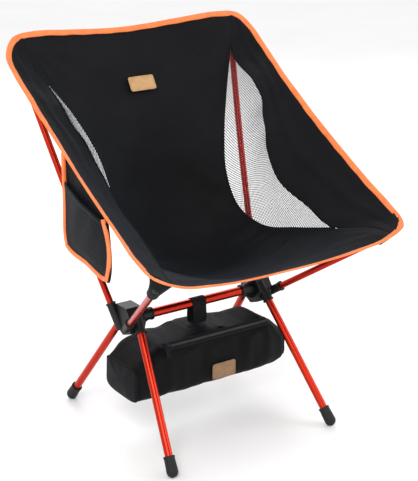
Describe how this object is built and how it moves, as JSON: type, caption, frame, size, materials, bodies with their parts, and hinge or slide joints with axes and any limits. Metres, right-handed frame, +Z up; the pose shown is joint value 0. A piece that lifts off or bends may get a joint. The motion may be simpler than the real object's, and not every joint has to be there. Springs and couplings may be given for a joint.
{
  "type": "folding camp chair",
  "caption": "Low sling chair on a shock-corded tube frame with moulded hubs, mesh side windows, side pockets and a zipped bag hung from the crossbar.",
  "frame": {"origin": "on the ground, under the middle of the chair", "axes": "+Z up, the sitter faces -Y, the sitter's left is +X"},
  "size_m": [0.4968, 0.4812, 0.6516],
  "materials": {
    "hub_plastic": "fine matt moulded",
    "tube": "gloss red anodised",
    "bare_tube": "satin drawn",
    "shock_cord": "braided",
    "foot_rubber": "matt",
    "tip_plastic": "moulded",
    "seat_cloth": "fine plain weave",
    "netting": "open diamond netting",
    "edge_tape": "woven grosgrain tape",
    "label_leather": "smooth vegetable tanned",
    "webbing": "ribbed webbing",
    "zip_tape": "coil zip",
    "zip_metal": "black enamelled"
  },
  "bodies": {
    "frame": {"left_hub": "hub_plastic", "right_hub": "hub_plastic", "crossbar": "tube", "crossbar_cord": "shock_cord", "left_front_leg_cord": "shock_cord", "left_rear_leg_cord": "shock_cord", "right_front_leg_cord": "shock_cord", "right_rear_leg_cord": "shock_cord", "left_front_pole": "tube", "left_front_pole_cord": "shock_cord", "left_front_pole_tip": "tip_plastic", "left_rear_pole_lower": "tube", "left_rear_pole_upper": "tube", "left_rear_pole_ferrule": "bare_tube", "left_rear_pole_cord": "shock_cord", "left_rear_pole_tip": "tip_plastic", "right_front_pole": "tube", "right_front_pole_cord": "shock_cord", "right_front_pole_tip": "tip_plastic", "right_rear_pole_lower": "tube", "right_rear_pole_upper": "tube", "right_rear_pole_ferrule": "bare_tube", "right_rear_pole_cord": "shock_cord", "right_rear_pole_tip": "tip_plastic", "seat_panel": "seat_cloth", "left_mesh_window": "netting", "left_side_wing": "seat_cloth", "left_side_binding": "edge_tape", "left_front_corner_pocket": "seat_cloth", "left_rear_corner_pocket": "seat_cloth", "left_side_pocket_back": "seat_cloth", "left_side_pocket_front": "seat_cloth", "left_side_pocket_binding": "edge_tape", "right_mesh_window": "netting", "right_side_wing": "seat_cloth", "right_side_binding": "edge_tape", "right_front_corner_pocket": "seat_cloth", "right_rear_corner_pocket": "seat_cloth", "right_side_pocket_back": "seat_cloth", "right_side_pocket_front": "seat_cloth", "right_side_pocket_binding": "edge_tape", "front_binding": "edge_tape", "top_binding": "edge_tape", "back_label": "label_leather"},
    "left_front_leg_assembly": {"left_front_leg": "tube", "left_front_foot": "foot_rubber"},
    "left_rear_leg_assembly": {"left_rear_leg": "tube", "left_rear_foot": "foot_rubber"},
    "right_front_leg_assembly": {"right_front_leg": "tube", "right_front_foot": "foot_rubber"},
    "right_rear_leg_assembly": {"right_rear_leg": "tube", "right_rear_foot": "foot_rubber"},
    "bag": {"bag_shell": "seat_cloth", "bag_strap": "webbing", "bag_zip": "zip_tape", "bag_label": "label_leather"},
    "zip_slider": {"zip_slider": "zip_metal"},
    "zip_pull": {"zip_pull": "webbing"}
  },
  "joints": [
    {"name": "left_front_leg_pull", "type": "slide", "parent": "frame", "child": "left_front_leg_assembly", "axis": [0.1336, -0.5991, -0.7895], "range_m": [0, 0.05], "stiffness_N_per_m": 100, "springref_m": -0.05},
    {"name": "left_rear_leg_pull", "type": "slide", "parent": "frame", "child": "left_rear_leg_assembly", "axis": [0.0935, 0.6067, -0.7894], "range_m": [0, 0.05], "stiffness_N_per_m": 100, "springref_m": -0.05},
    {"name": "right_front_leg_pull", "type": "slide", "parent": "frame", "child": "right_front_leg_assembly", "axis": [-0.1336, -0.5991, -0.7895], "range_m": [0, 0.05], "stiffness_N_per_m": 100, "springref_m": -0.05},
    {"name": "right_rear_leg_pull", "type": "slide", "parent": "frame", "child": "right_rear_leg_assembly", "axis": [-0.0935, 0.6067, -0.7894], "range_m": [0, 0.05], "stiffness_N_per_m": 100, "springref_m": -0.05},
    {"name": "bag_swing", "type": "hinge", "parent": "frame", "child": "bag", "pos_m": [0, 0.015, 0.206], "axis": [1, 0, 0], "range_deg": [-4, 4]},
    {"name": "zip_slide", "type": "slide", "parent": "bag", "child": "zip_slider", "axis": [1, 0, 0], "range_m": [0, 0.198]},
    {"name": "zip_pull_swing", "type": "hinge", "parent": "zip_slider", "child": "zip_pull", "pos_m": [-0.0925, -0.03767, 0.16767], "axis": [1, 0, 0], "range_deg": [-100, 0]}
  ]
}
